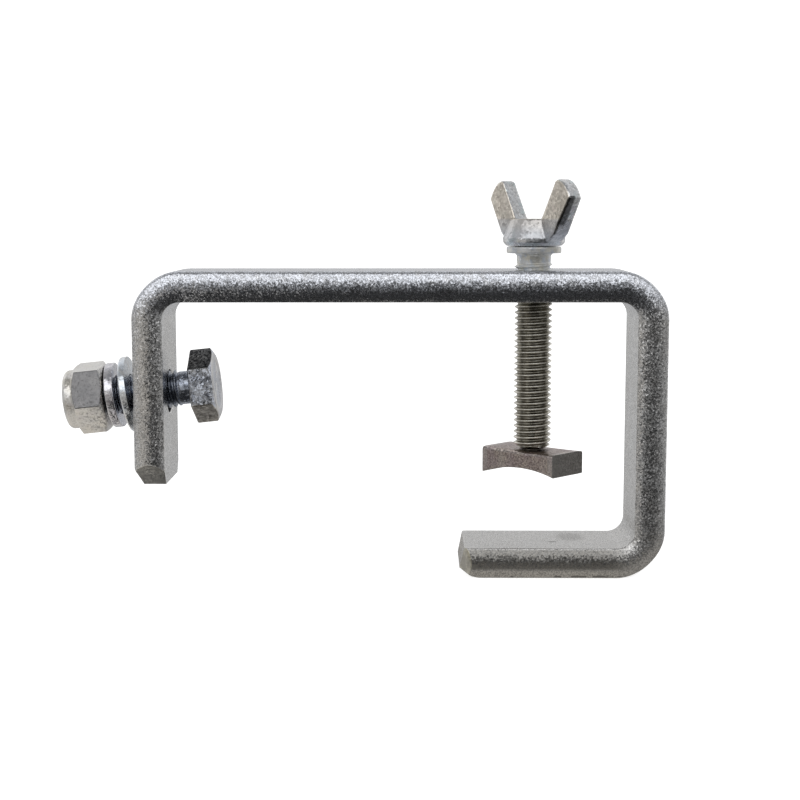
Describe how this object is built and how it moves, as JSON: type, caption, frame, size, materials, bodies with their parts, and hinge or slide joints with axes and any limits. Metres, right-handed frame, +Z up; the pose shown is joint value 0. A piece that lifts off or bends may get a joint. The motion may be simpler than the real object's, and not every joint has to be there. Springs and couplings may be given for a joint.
{
  "type": "hook clamp",
  "caption": "Bent flat-bar hook clamp for hanging a lamp from a pipe: winged clamp screw with a swivel saddle, and a fixing bolt with lock nut.",
  "frame": {"origin": "where the clamp screw's axis meets the clamping face of the jaw", "axes": "+Z up along the clamp screw, away from the jaw face; +X from the fixing leg towards the jaw's leg; Y across the bar"},
  "size_m": [0.1579, 0.0296, 0.1028],
  "materials": {
    "zinc_bar": "grainy zinc plate",
    "zinc_screw": "zinc plate, dull thread",
    "zinc_forging": "satin zinc plate with faint passivate colours",
    "bare_steel": "bare, brownish",
    "zinc_washer": "bright zinc plate",
    "blue_zinc": "blue zinc plate",
    "spring_steel": "bright zinc plate",
    "zinc_nut": "satin zinc plate",
    "nylon": "natural nylon"
  },
  "bodies": {
    "frame": {"hook_frame": "zinc_bar"},
    "keeper": {"saddle_keeper": "zinc_washer"},
    "clamp_screw": {"clamp_spindle": "zinc_screw", "wing_nut": "zinc_forging"},
    "saddle": {"saddle": "bare_steel"},
    "bolt": {"hex_bolt": "blue_zinc"},
    "flat_washer": {"flat_washer": "zinc_washer"},
    "spring_washer": {"spring_washer": "spring_steel"},
    "lock_nut": {"lock_nut": "zinc_nut", "lock_nut_insert": "nylon"}
  },
  "joints": [
    {"name": "screw_travel", "type": "slide", "parent": "frame", "child": "keeper", "axis": [0, 0, 1], "range_m": [-0.00135, 0.039]},
    {"name": "wing_turn", "type": "hinge", "parent": "keeper", "child": "clamp_screw", "pos_m": [0, 0, 0.0248], "axis": [0, 0, 1], "range_deg": [-325, 9361]},
    {"name": "saddle_swivel", "type": "hinge", "parent": "keeper", "child": "saddle", "pos_m": [0, 0, 0.0247], "axis": [0, 0, 1], "continuous": true},
    {"name": "bolt_draw", "type": "hinge", "parent": "frame", "child": "bolt", "pos_m": [-0.10829, 0, 0.09837], "axis": [0, 1, 0], "range_deg": [0, 6.1]},
    {"name": "washer_lean", "type": "hinge", "parent": "frame", "child": "flat_washer", "pos_m": [-0.10405, 0, 0.0294], "axis": [0, 1, 0], "range_deg": [0, 9.8]},
    {"name": "nut_travel", "type": "slide", "parent": "bolt", "child": "spring_washer", "axis": [0.9943, 0, 0.1063], "range_m": [0, 0.0091]},
    {"name": "nut_turn", "type": "hinge", "parent": "spring_washer", "child": "lock_nut", "pos_m": [-0.11238, 0, 0.03868], "axis": [0.9943, 0, 0.1063], "range_deg": [0, 2185]}
  ],
  "couplings": [
    {"joint": "wing_turn", "follows": "screw_travel", "rad_per_m": 4188.8},
    {"joint": "nut_turn", "follows": "nut_travel", "rad_per_m": 4188.8},
    {"joint": "bolt_draw", "follows": "nut_travel", "rad_per_m": 11.699},
    {"joint": "washer_lean", "follows": "nut_travel", "rad_per_m": 18.796}
  ]
}
